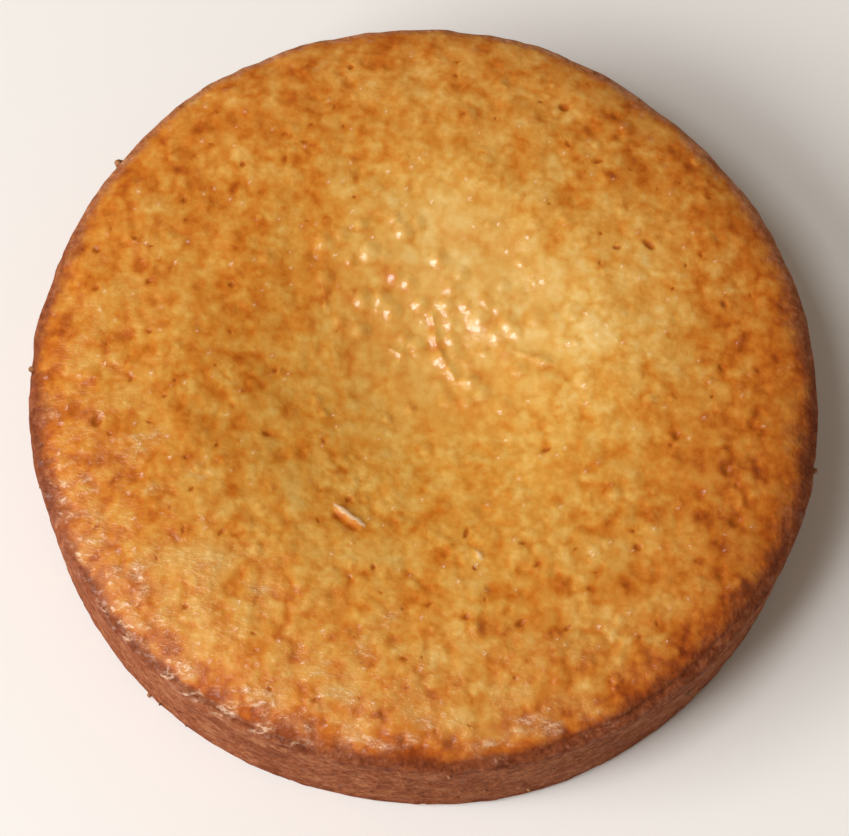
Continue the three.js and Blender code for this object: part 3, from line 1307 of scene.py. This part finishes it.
@dataclass(frozen=True)
class ButterCrust:
    """Baked butter sponge: golden where it stayed pale, orange-brown where the oven caught it.

    A dry skin with hardly any shine lies below a thin film of butter, whose glints are small and
    sharp: low mounds on the dry crust, grains drawn out sideways near the front of the rim,
    and rounded glints on the bubbles of the dip. Where the butter lies, a painted sheen pales the
    colour, most on those grains. The wall that lay against the tin is matt, brown and crumby. A
    little light passes through the skin, so that its lumps look soft and moist.

    The cells of a real crumb are 0.1 to 0.5 mm wide and its beads of butter about 0.3 mm, too fine to
    show from where the camera stands. So the grain is drawn about three times as coarse, and the
    beads are drawn as low mounds up to 3 mm wide, which are as large as the glints on such a crust.
    """

    ior: float = 1.45  # baked starch and fat
    roughness: float = 0.62
    wall_roughness: float = 0.85
    dry_shine: float = 0.06
    subsurface: float = 0.2  # the share of light that passes through the skin
    subsurface_reach: float = 1.5  # millimetres
    subsurface_radius: tuple[float, float, float] = (1.0, 0.5, 0.2)
    roughness_mottle: tuple[Mottle, ...] = (Mottle(6.0, 0.05), Mottle(1.6, 0.06))
    gloss: float = 0.05  # how much of the dry crust its film of butter covers
    grain_cover: float = 0.8  # what the grains add to the cover
    bead_cover: float = 0.9  # and the beads
    # How much less of the beads shows in the wet dip and on the wall.
    dry: tuple[tuple[str, float], ...] = (("wet", -1.0), ("wall", -0.7))
    gloss_roughness: float = 0.23
    film_ior: float = 1.6  # butter and sugar
    # What each field adds to the film's cover: most in the wet dip, less on bubbles and pores.
    shine: tuple[tuple[str, float], ...] = (
        ("wet", 0.95),
        ("blister", 0.3),
        ("pore", 0.2),
        ("butter", 0.17),
        ("wall", -0.12),
    )
    # The crust's colours from palest to darkest, where the oven was gentle and where it was fierce.
    golden: tuple[tuple[float, str], ...] = (
        (0.0, "eccf92"),
        (0.2, "e4bd70"),
        (0.35, "deac56"),
        (0.5, "d79a40"),
        (0.65, "d0862c"),
        (0.8, "c56f1a"),
        (1.0, "b0570c"),
    )
    browned: tuple[tuple[float, str], ...] = (
        (0.0, "e8c07e"),
        (0.2, "e0aa5e"),
        (0.35, "d69544"),
        (0.5, "cd8030"),
        (0.65, "c36b1e"),
        (0.8, "ae5416"),
        (1.0, "84360e"),
    )
    # What each field adds to the crust's tone: 0 is palest and 1 darkest.
    crust_tone: tuple[tuple[str, float], ...] = (
        ("browning", 1.0),
        ("scorch", 0.56),
        ("halo", 0.14),
        # Partly the crust's own colour, partly painted shade: paler lump tops and browner hollows.
        ("lump", -0.17),
        # Painted shade: the browner ring round each bubble's foot.
        ("gap", 0.1),
        ("spot", 0.2),
        ("butter", -0.02),
        ("painted_sheen", 0.04),
        # Painted shade: the crease is darkened.
        ("crease", 0.4),
        # Painted shade: the hollow beside the flake is darkened.
        ("hollow", 0.4),
    )
    # The wall's colours from palest to darkest, and what each field adds to its tone.
    against_tin: tuple[tuple[float, str], ...] = (
        (0.0, "c28c6a"),
        (0.25, "a66a48"),
        (0.5, "8a4c2e"),
        (0.75, "6e361e"),
        (1.0, "4e2212"),
    )
    tin_tone: tuple[tuple[str, float], ...] = (
        # Painted shade: the wall's pits darken with their depth.
        ("pit", 0.15),
        ("foot", 0.18),
        ("scorch", 0.16),
        # Painted highlight: the lip is lightened.
        ("lip", -0.14),
        ("back", -0.35),
    )
    even_tone: float = 0.5  # the tone that the fields are added to
    grain_tone: float = -0.14  # what the grains of butter add to it on the crust
    tin_grain_tone: float = -0.06  # and on the wall
    dip_calm: float = -0.6  # what the wet skin of the dip takes from the mottle and from the grain
    butter_pallor: float = 0.35  # how much less the crust browns under its butter
    # Where each finish starts and where it is full, on its own field.
    sheen_paint_step: tuple[float, float] = (0.05, 1.15)
    edge_step: tuple[float, float] = (0.12, 0.95)
    edge_mottle: tuple[Mottle, ...] = (Mottle(2.4, 0.12),)
    core_step: tuple[float, float] = (0.1, 1.0)
    flake_step: tuple[float, float, float] = (0.2, 1.0, 0.9)  # and at most this much of it
    flake_mottle: tuple[Mottle, ...] = (Mottle(0.8, 0.25),)
    # The pores' core colour: partly browner crust, partly painted shade.
    pore_colour: str = "ae5a0e"
    painted_haze: float = 0.37  # how much of the colour below it the painted sheen hides under a full film of butter
    haze_full: float = 1.2  # the butter field's value for a full film
    # Painted sheen: the greyish tan that a full film of butter pales the colour towards.
    painted_haze_colour: str = "bd8a5e"
    sheen_paint: float = 0.62  # the same for the painted sheen on its grains
    # Painted sheen: the pale pinkish white that the grains are drawn towards.
    painted_sheen_colour: str = "e8c2a0"
    flake_colour: str = "e2c198"
    crust_mottle: tuple[Mottle, ...] = (
        Mottle(10.0, 0.085),
        Mottle(4.2, 0.095, 0.24),
        Mottle(1.8, 0.075, 0.28),
    )
    wall_mottle: tuple[Mottle, ...] = (
        Mottle(11.0, 0.1),
        Mottle(4.4, 0.08),
        Mottle(2.4, 0.08),
        Mottle(1.3, 0.11, tall=1.15),
    )
    crust_grain: tuple[Mottle, ...] = (Mottle(2.4, 0.035), Mottle(1.1, 0.008))
    grit: Grit = Grit(1.9, 1.0, 0.3)
    grit_share: float = 0.3  # how much of the grit shows in the skin below its film
    beads: Beads = Beads(4.8, 3.0, 0.55)
    wall_grain: tuple[Mottle, ...] = (
        Mottle(1.9, 0.14, 0.3, 1.0, tall=1.15),
        Mottle(0.9, 0.05),
    )

    def colour(self, skin: SkinPattern, grains: Socket, grained: Socket) -> Socket:
        """The colour: golden to browned crust, the tin's brown wall, dark pores and the pale flake."""
        tree = skin.tree
        calm = skin.with_fields(1.0, {"wet": self.dip_calm})
        mottle = skin.layered(self.crust_mottle, 0.0)
        tone = skin.summed(((mottle, calm), (grained, self.grain_tone)), self.even_tone)
        tone = skin.with_fields(tone, dict(self.crust_tone))
        golden = add_node(tree, "ValToRGB", {"Fac": tone}, self.golden)
        browned = add_node(tree, "ValToRGB", {"Fac": tone}, self.browned)
        oven = skin.with_fields(skin.fields["oven"], {"butter": -self.butter_pallor}, True)
        crust = skin.blended(oven, golden, browned)
        # Painted sheen where the butter lies, drawn as a paler, greyer colour.
        painted_haze = skin.stepped(skin.fields["butter"], 0.0, self.haze_full, self.painted_haze)
        crust = skin.blended(painted_haze, crust, linear(self.painted_haze_colour))

        tin_tone = skin.summed(((grains, self.tin_grain_tone),), self.even_tone)
        tin_tone = skin.layered(self.wall_mottle, tin_tone)
        tin_tone = skin.with_fields(tin_tone, dict(self.tin_tone))
        tin = add_node(tree, "ValToRGB", {"Fac": tin_tone}, self.against_tin)
        edge = skin.stepped(skin.layered(self.edge_mottle, skin.fields["wall"]), *self.edge_step)
        colour = skin.blended(edge, crust, tin)

        # Painted sheen on the grains of butter, drawn as a paler colour.
        sheen_paint = skin.summed(((grains, skin.fields["painted_sheen"]),), 0.0)
        sheen_paint = skin.stepped(sheen_paint, *self.sheen_paint_step, self.sheen_paint)
        colour = skin.blended(sheen_paint, colour, linear(self.painted_sheen_colour))
        # The pores' dark cores: partly browner crust, partly painted shade in the holes.
        core = skin.stepped(skin.fields["pore"], *self.core_step)
        colour = skin.blended(core, colour, linear(self.pore_colour))
        pale = skin.stepped(skin.layered(self.flake_mottle, skin.fields["flake"]), *self.flake_step)
        return skin.blended(pale, colour, linear(self.flake_colour))

    def skin_normal(self, skin: SkinPattern, grained: Socket) -> Socket:
        """The normal of the finest relief: soft on the crust, calm in the dip, crumb on the wall."""
        tree = skin.tree
        calm = skin.with_fields(1.0, {"wet": self.dip_calm})
        share = self.grit_share * self.grit.height
        crust = skin.summed(((skin.layered(self.crust_grain, 0.0), calm), (grained, share)), 0.0)
        wall = skin.layered(self.wall_grain, 0.0)
        sockets = {"Factor": skin.fields["wall"], "A": crust, "B": wall}
        height = add_node(tree, "Mix", sockets, data_type="FLOAT")
        return add_node(tree, "Bump", {"Height": height, "Distance": MM})

    def film(self, skin: SkinPattern, grained: Socket, normal: Socket) -> tuple[Socket, Socket]:
        """The film of butter: grains of it where it bubbled up, and low mounds on the dry crust.

        Args:
            skin: What the patterns share.
            grained: Where the grains of butter are.
            normal: The normal of the skin below it.

        Returns:
            How much of the skin it covers, and its own normal.
        """
        tree = skin.tree
        dry = skin.with_fields(1.0, dict(self.dry), True)
        beads = skin.summed(((skin.beaded(self.beads), dry),), 0.0)
        height = skin.summed(((grained, self.grit.height), (beads, self.beads.height)), 0.0)
        cover = skin.summed(((grained, self.grain_cover), (beads, self.bead_cover)), self.gloss)
        cover = skin.with_fields(cover, dict(self.shine), True)
        return cover, add_node(tree, "Bump", {"Height": height, "Distance": MM, "Normal": normal})

    def build(self, field_names: list[str]) -> bpy.types.Material:
        """Makes the material.

        Args:
            field_names: The fields that the skin's mesh carries.

        Returns:
            The material.
        """
        material = new_material("baked_butter_crust")
        tree = material.node_tree
        place = add_node(tree, "TexCoord", output="Object")
        place = add_node(tree, "VectorMath", {"Vector": place, "Scale": 1 / MM}, operation="SCALE")
        fields = {
            name: add_node(tree, "Attribute", output="Fac", attribute_name=name)
            for name in field_names
        }
        skin = SkinPattern(tree, place, fields)

        roughness = skin.layered(self.roughness_mottle, self.roughness)
        roughness = skin.with_fields(roughness, {"wall": self.wall_roughness - self.roughness}, True)
        grains = skin.grains(self.grit)
        grained = skin.summed(((grains, skin.fields["butter"]),), 0.0)
        normal = self.skin_normal(skin, grained)
        cover, film_normal = self.film(skin, grained, normal)
        sockets = {
            "Base Color": self.colour(skin, grains, grained),
            "Roughness": roughness,
            "Normal": normal,
            "IOR": self.ior,
            "Subsurface Weight": self.subsurface,
            "Subsurface Radius": self.subsurface_radius,
            "Subsurface Scale": self.subsurface_reach * MM,
            "Specular IOR Level": self.dry_shine,
            "Coat Weight": cover,
            "Coat Roughness": self.gloss_roughness,
            "Coat IOR": self.film_ior,
            "Coat Normal": film_normal,
        }
        shader = add_node(tree, "BsdfPrincipled", sockets)
        add_node(tree, "OutputMaterial", {"Surface": shader})
        return material


@dataclass(frozen=True)
class LooseCrumb:
    """Crumb of the same sponge: tan to brown, quite matt, so that it reads as dry against the wall."""

    tones: tuple[tuple[float, str], ...] = ((0.3, "b98353"), (0.7, "6c381c"))
    tone_spacing: float = 2.5  # millimetres
    roughness: float = 0.8

    def build(self) -> bpy.types.Material:
        """Makes the material."""
        material = new_material("torn_sponge_crumb")
        tree = material.node_tree
        place = add_node(tree, "TexCoord", output="Object")
        noise = add_node(tree, "TexNoise", {"Vector": place, "Scale": 1 / (self.tone_spacing * MM)})
        colour = add_node(tree, "ValToRGB", {"Fac": noise}, self.tones)
        shader = add_node(tree, "BsdfPrincipled", {"Base Color": colour, "Roughness": self.roughness})
        add_node(tree, "OutputMaterial", {"Surface": shader})
        return material


@dataclass(frozen=True)
class Crumb:
    """One crumb that clings to the skin: the place it clings nearest to and its radius, in mm."""

    x: float
    y: float
    z: float
    radius: float


@dataclass
class Crumbs:
    """Crumbs and burrs that cling to the wall and the rim."""

    landmarks: tuple[Crumb, ...] = (
        Crumb(-75.6, 50.6, 37.0, 0.85),
        Crumb(-76.2, 50.0, 36.2, 0.6),
        Crumb(-89.6, -2.6, 35.5, 0.7),
        Crumb(89.4, -12.2, 34.0, 0.8),
        Crumb(64.2, -63.0, 20.0, 0.8),
    )
    count: int = 30
    subdivisions: int = 3
    below_lip: float = 1.0  # small crumbs cling at least this far down the wall
    above_base: float = 1.5  # and this far up
    least_radius: float = 0.25
    radius_range: float = 0.3
    lift: float = 0.3  # how far a crumb's middle stands off the skin, as a share of its radius
    roughening: float = 0.3  # how uneven each crumb is, as a share of its radius
    squash: tuple[float, float] = (0.7, 1.2)  # how short and how long its sides may be, of its radius
    scatter: float = 90.0  # so that no two crumbs take the same part of the noise
    rough_spacing: tuple[float, float] = (1.1, 0.5)  # of a crumb's radius
    fine_share: float = 0.5  # how high the finer unevenness is, as a share of the coarser
    fine_shift: float = 50.0
    seed: int = 81

    def strewn(self, skin: Skin) -> list[Crumb]:
        """All crumbs: the landmarks, and small ones strewn over the wall and along its foot."""
        draw = np.random.default_rng(self.seed)
        wall = np.flatnonzero((skin.inward < -self.below_lip) & (skin.points[:, 2] > self.above_base))
        places = skin.points[draw.choice(wall, self.count, replace=False)]
        radii = self.least_radius + self.radius_range * draw.random(self.count) ** 2
        return list(self.landmarks) + [Crumb(*place, radius) for place, radius in zip(places, radii)]

    def build(self, skin: Skin) -> bpy.types.Object:
        """Shapes the crumbs as one mesh.

        Args:
            skin: The cake's skin, which they cling to.

        Returns:
            The crumbs.
        """
        draw = np.random.default_rng(self.seed + 1)
        noise = Noise(self.seed + 2)
        surface = skin.raised()
        shape = bmesh.new()
        crumbs = self.strewn(skin)
        for crumb in crumbs:
            nearest = np.argmin(np.linalg.norm(surface - (crumb.x, crumb.y, crumb.z), axis=1))
            middle = surface[nearest] + self.lift * crumb.radius * skin.normals[nearest]
            made = bmesh.ops.create_icosphere(shape, subdivisions=self.subdivisions, radius=1.0)["verts"]
            ball = np.array([vertex.co for vertex in made])
            shift = draw.uniform(-self.scatter, self.scatter, 3)
            coarse, fine = self.rough_spacing
            rough = noise.at(ball + shift, coarse)
            rough += self.fine_share * noise.at(ball + self.fine_shift, fine)
            reach = crumb.radius * (1 + self.roughening * rough)
            lumpy = middle + ball * reach[:, None] * draw.uniform(*self.squash, 3)
            for vertex, place in zip(made, lumpy):
                vertex.co = place * MM
        mesh = bpy.data.meshes.new("tea_cake_crumbs")
        shape.to_mesh(mesh)
        shape.free()
        mesh.shade_smooth()
        mesh.materials.append(LooseCrumb().build())
        piece = put_in_scene("tea_cake_crumbs", mesh)
        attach(piece, "root")
        LOG.info("%s: %d crumbs, %d triangles", piece.name, len(crumbs), len(mesh.polygons))
        return piece


@dataclass
class TeaCake:
    """The whole cake: one closed skin over one sponge, with everything that shows in it."""

    form: CakeForm = field(default_factory=CakeForm)
    crust_island: float = 0.45  # the radius that the crust and the wall take on the bake map
    base_island: float = 0.125
    island_gap: float = 0.006

    def build(self) -> bpy.types.Object:
        """Shapes the skin and gives it its finish.

        Returns:
            The cake.
        """
        pores = Pores(self.form)
        bubbles = Bubbles()
        wrinkles = Wrinkles()
        rim = RimEdge(self.form)
        strewn_pores = pores.strewn()
        strewn_bubbles = bubbles.strewn()
        spots = [(p.x, p.y) for p in strewn_pores if p.kind is not PoreKind.DIMPLE]
        spots += [(b.x, b.y) for b in strewn_bubbles] + wrinkles.spots()
        skin = SkinGrid(self.form).lay(spots)
        skin.lay_on(self.form)
        rim.round_off(skin)
        Swells().shape(skin)
        rim.shape(skin)
        TinWall().shape(skin)
        pores.shape(skin, strewn_pores)
        bubbles.shape(skin, strewn_bubbles)
        wrinkles.shape(skin)
        Browning().shape(skin)

        points = skin.raised()
        points[:, 2] = np.maximum(points[:, 2], 0)
        mesh = bpy.data.meshes.new("tea_cake_crust")
        mesh.from_pydata((points * MM).tolist(), [], skin.triangles.tolist())
        mesh.shade_smooth()
        for name, values in skin.fields.items():
            layer = mesh.attributes.new(name, "FLOAT", "POINT")
            layer.data.foreach_set("value", values.astype(np.float32))
        self.unroll(mesh, skin)
        mesh.materials.append(ButterCrust().build(list(skin.fields)))
        cake = put_in_scene("tea_cake_crust", mesh)
        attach(cake, "root")
        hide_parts("tea_cake")
        LOG.info("%s: %d triangles, %d pores", cake.name, len(skin.triangles), len(strewn_pores))
        Crumbs().build(skin)
        return cake

    def unroll(self, mesh: bpy.types.Mesh, skin: Skin) -> None:
        """Lays the skin out flat on the bake map: crust and wall as one disc, the base as a small one.

        Args:
            mesh: The cake's mesh.
            skin: The skin that it was made from.
        """
        corners = skin.triangles.ravel()
        on_base = np.repeat(skin.on_base, 3)
        unrolled = skin.along / skin.along[corners[~on_base]].max() * self.crust_island
        radius = np.hypot(skin.points[:, 0], skin.points[:, 1])
        flat = radius / radius.max() * self.base_island
        crust_middle = self.crust_island + self.island_gap
        middle = np.where(on_base, 1 - self.base_island - self.island_gap, crust_middle)
        reach = np.where(on_base, flat[corners], unrolled[corners])
        turn = np.where(on_base, -skin.angle[corners], skin.angle[corners])
        places = np.column_stack([middle + reach * np.cos(turn), middle + reach * np.sin(turn)])
        layer = mesh.uv_layers.new(name=BAKE_MAP)
        layer.data.foreach_set("uv", places.ravel().astype(np.float32))


class Lamp(Enum):
    """The studio's lamps: direction from the cake, side in m, distance in m, power in W and colour."""

    WINDOW = ((-0.74, -0.40, 0.54), 1.6, 2.2, 52.5, "fffefd")
    CEILING = ((-0.33, -0.22, 0.92), 0.52, 2.2, 13.0, "ffffff")

    def hang(self, target: Vector) -> None:
        """Hangs the lamp where it faces the cake.

        Args:
            target: The middle of the cake.
        """
        direction, side, distance, power, colour = self.value
        data = bpy.data.lights.new(self.name.lower(), "AREA")
        data.size = side
        data.energy = power
        data.color = linear(colour)[:3]
        light = put_in_scene(data.name, data)
        away = Vector(direction).normalized()
        light.location = target + away * distance
        light.rotation_euler = away.to_track_quat("Z", "Y").to_euler()


@dataclass
class Studio:
    """A pale floor, a broad window light from the left, a small overhead lamp and an even surround."""

    floor_reach: float = 14 * CAKE_RADIUS * MM
    # Matt white board: an even pale ground without glints.
    floor_colour: str = "f4f3f1"
    floor_roughness: float = 0.8
    surround_colour: str = "ffecd4"
    surround_strength: float = 0.24

    def build(self) -> None:
        """Makes the floor, the lamps and the surround."""
        reach = self.floor_reach
        mesh = bpy.data.meshes.new("floor")
        corners = [(-reach, -reach, 0), (reach, -reach, 0), (reach, reach, 0), (-reach, reach, 0)]
        mesh.from_pydata(corners, [], [(0, 1, 2, 3)])
        material = new_material("matt_white_board")
        sockets = {"Base Color": linear(self.floor_colour), "Roughness": self.floor_roughness}
        shader = add_node(material.node_tree, "BsdfPrincipled", sockets)
        add_node(material.node_tree, "OutputMaterial", {"Surface": shader})
        mesh.materials.append(material)
        put_in_scene("floor", mesh)
        for lamp in Lamp:
            lamp.hang(Vector((0, 0, CAKE_HEIGHT * MM)))
        world = bpy.data.worlds.new("surround")
        world.use_nodes = True
        background = world.node_tree.nodes["Background"]
        background.inputs["Color"].default_value = linear(self.surround_colour)
        background.inputs["Strength"].default_value = self.surround_strength
        bpy.context.scene.world = world
        bpy.context.scene.view_settings.view_transform = "Standard"
        LOG.info("studio: floor and %d lamps", len(Lamp))


@dataclass
class ViewCamera:
    """A camera held above the front of the cake and turned a little to the left."""

    radius: float = CAKE_RADIUS * MM
    lip_height: float = 37.0 * MM
    elevation: float = 69.6
    roll: float = 4.23
    distance_share: float = 9.0  # of the cake's radius
    radius_on_image: float = 0.46514  # the lip's radius, of the image's width
    below_middle: float = 0.077  # how far the aim lies in front of the lip's middle, of the radius
    aside: float = 0.0015  # and to its right
    sensor: float = 36.0

    def build(self) -> None:
        """Makes the camera and hands it to the scene."""
        elevation = math.radians(self.elevation)
        away = Vector((0, -math.cos(elevation), math.sin(elevation)))
        up = Vector((0, math.sin(elevation), math.cos(elevation)))
        right = Vector((1, 0, 0))
        middle = Vector((0, 0, self.lip_height))
        place = middle + away * self.distance_share * self.radius
        roll = math.radians(self.roll)
        image_up = up * math.cos(roll) - right * math.sin(roll)
        image_right = right * math.cos(roll) + up * math.sin(roll)
        aim = middle - (image_up * self.below_middle + image_right * self.aside) * self.radius
        back = (place - aim).normalized()
        side = image_up.cross(back).normalized()
        data = bpy.data.cameras.new("camera")
        data.sensor_width = self.sensor
        data.lens = self.sensor * self.radius_on_image * self.distance_share
        camera = put_in_scene("camera", data)
        turn = Matrix((side, back.cross(side), back)).transposed().to_4x4()
        camera.matrix_world = Matrix.Translation(place) @ turn
        bpy.context.scene.camera = camera


def main() -> None:
    """Builds the cake, the studio and the camera."""
    logging.basicConfig(level=logging.INFO, format="%(name)s: %(message)s")
    TeaCake().build()
    Studio().build()
    ViewCamera().build()


if __name__ == "__main__":
    main()
